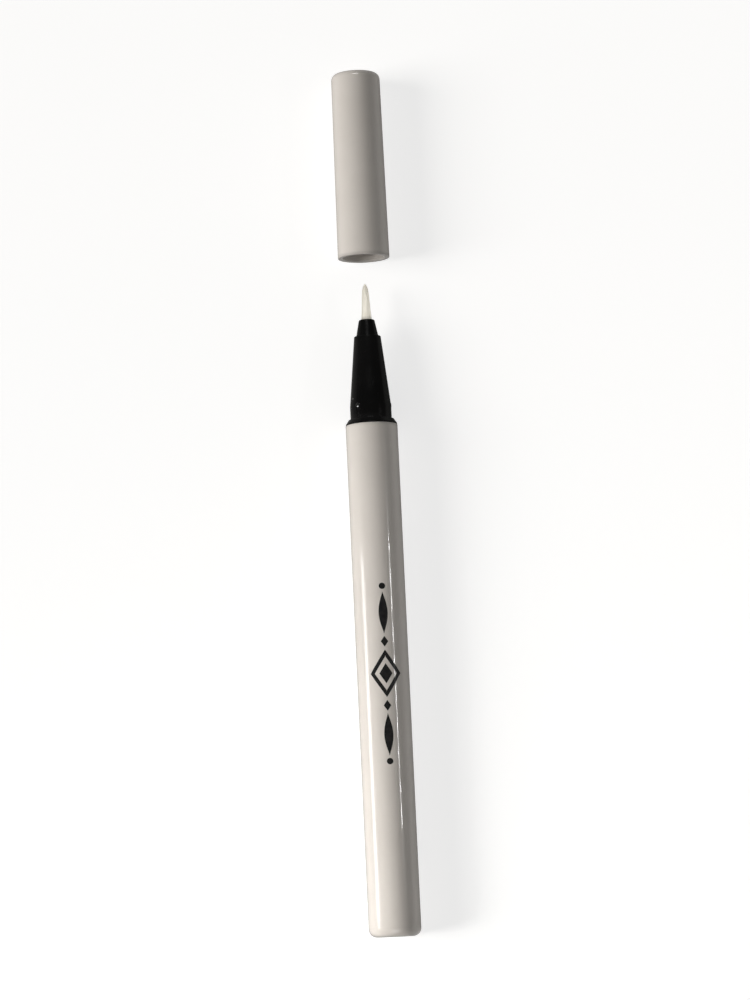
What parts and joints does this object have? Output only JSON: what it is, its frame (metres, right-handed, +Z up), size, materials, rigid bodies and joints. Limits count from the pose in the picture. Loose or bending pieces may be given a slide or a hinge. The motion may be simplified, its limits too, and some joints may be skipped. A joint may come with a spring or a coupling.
{
  "type": "liquid eyeliner pen",
  "caption": "Slim round liquid eyeliner pen with a tapered front section, a fine brush tip, a comb-fed ink tank and a slip-on cap pulled off in line.",
  "frame": {"origin": "centre of the flat tail face, on the pen's axis", "axes": "+Y along the pen's axis from the tail to the brush tip, +Z up; the pen lies on a surface at z = -5 mm"},
  "size_m": [0.01, 0.1671, 0.01],
  "materials": {
    "white_shell": "glossy",
    "black_front": "glossy",
    "filament": "fine filaments",
    "clear_tank": "translucent",
    "soft_stopper": "matte",
    "feed_plastic": "matte",
    "fibre": "fibrous",
    "ball_steel": "polished"
  },
  "bodies": {
    "pen": {"barrel": "white_shell", "tail_plug": "white_shell", "ink_tank": "clear_tank", "tank_stopper": "soft_stopper", "collector": "feed_plastic", "fibre_core": "fibre", "section": "black_front", "nib_holder": "black_front", "brush_tip": "filament"},
    "ball": {"mixing_ball": "ball_steel"},
    "cap": {"cap_shell": "white_shell", "cap_liner": "black_front"}
  },
  "joints": [
    {"name": "cap_push", "type": "slide", "parent": "pen", "child": "cap", "axis": [0, -1, 0], "range_m": [0, 0.0315]},
    {"name": "ball_travel", "type": "slide", "parent": "pen", "child": "ball", "axis": [0, 1, 0], "range_m": [0, 0.0514]}
  ]
}
